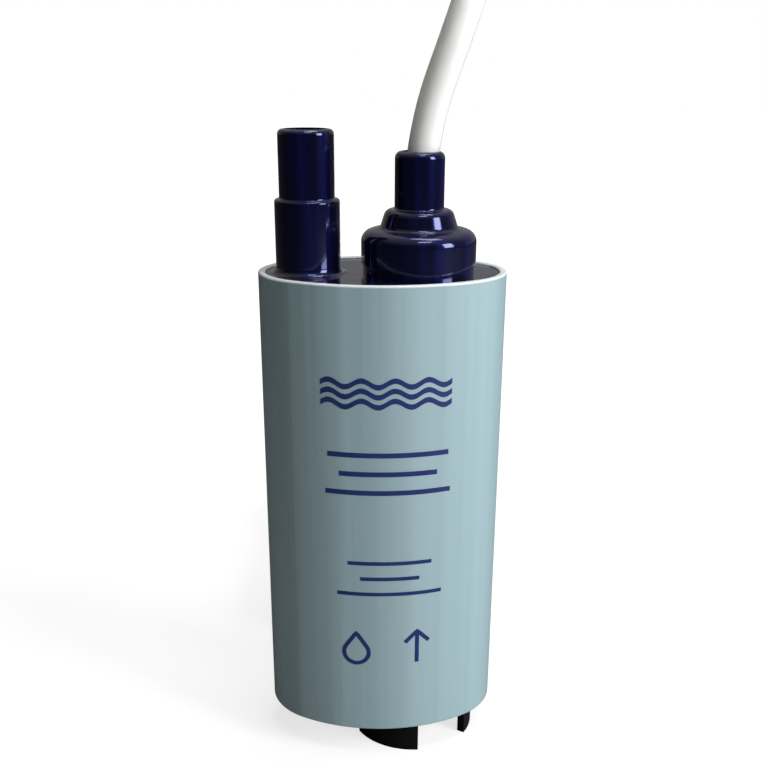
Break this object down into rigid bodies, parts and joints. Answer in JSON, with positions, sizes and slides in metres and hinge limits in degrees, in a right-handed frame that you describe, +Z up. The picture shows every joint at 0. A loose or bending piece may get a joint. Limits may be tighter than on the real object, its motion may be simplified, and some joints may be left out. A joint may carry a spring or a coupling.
{
  "type": "submersible water pump",
  "caption": "Oval submersible 12 V water pump for caravans: glossy cover with stepped hose tail and bell-shaped cable gland, pale sleeve, feet and strainer below, white cable tied in a hank.",
  "frame": {"origin": "middle of the sleeve's oval, on the surface that the feet stand on", "axes": "+Z up along the sleeve, X along the long way of the oval with the cable gland on +X and the hose tail on -X, -Y towards the printed front"},
  "size_m": [0.0561, 0.1478, 0.1745],
  "materials": {
    "sleeve_plastic": "satin",
    "navy_plastic": "gloss",
    "black_plastic": "satin",
    "white_nylon": "satin",
    "black_rubber": "matte",
    "white_cable": "gloss",
    "plain_steel": "satin",
    "bronze": "satin",
    "brass": "satin",
    "copper": "satin",
    "tinned_copper": "satin",
    "ferrite": "matte",
    "carbon": "matte",
    "board": "satin",
    "capacitor_case": "gloss",
    "brown_core": "satin",
    "blue_core": "satin"
  },
  "bodies": {
    "pump": {"outer_sleeve": "sleeve_plastic", "top_cover": "navy_plastic", "gland_cap": "navy_plastic", "gland_washer": "white_nylon", "cable_seal": "black_rubber", "cable_entry": "white_cable", "cable_crimp_ring": "plain_steel", "cover_seal_ring": "black_rubber", "body_seal_ring": "black_rubber", "pump_body": "black_plastic", "shaft_seal": "black_rubber", "seal_garter_spring": "plain_steel", "riser_duct": "black_plastic", "duct_seals": "black_rubber", "foot_plate": "black_plastic", "foot_plate_screws": "plain_steel", "motor_screws": "plain_steel", "inlet_strainer": "black_plastic", "vent_cage": "black_plastic", "motor_can": "plain_steel", "motor_end_cap": "white_nylon", "front_bearing": "bronze", "rear_bearing": "bronze", "motor_magnets": "ferrite", "carbon_brushes": "carbon", "brush_arms": "bronze", "motor_terminals": "brass", "motor_spider": "black_plastic", "suppressor_board": "board", "suppressor_capacitor": "capacitor_case", "choke_cores": "ferrite", "choke_coils": "copper", "inner_lead_brown": "brown_core", "inner_lead_blue": "blue_core", "power_cable": "white_cable", "cable_hank": "white_cable", "cable_strap": "black_rubber", "core_brown": "brown_core", "core_blue": "blue_core", "core_tips": "tinned_copper"},
    "rotor": {"motor_shaft": "plain_steel", "armature_core": "plain_steel", "armature_windings": "copper", "commutator_hub": "black_plastic", "commutator_segments": "copper", "shaft_spacers": "white_nylon", "impeller": "white_nylon"},
    "vent_ball": {"vent_ball": "white_nylon"}
  },
  "joints": [
    {"name": "rotor_spin", "type": "hinge", "parent": "pump", "child": "rotor", "pos_m": [0.0069, 0, 0.04], "axis": [0, 0, 1], "continuous": true},
    {"name": "vent_ball_slide", "type": "slide", "parent": "pump", "child": "vent_ball", "axis": [0, 0, 1], "range_m": [0, 0.0012]}
  ]
}
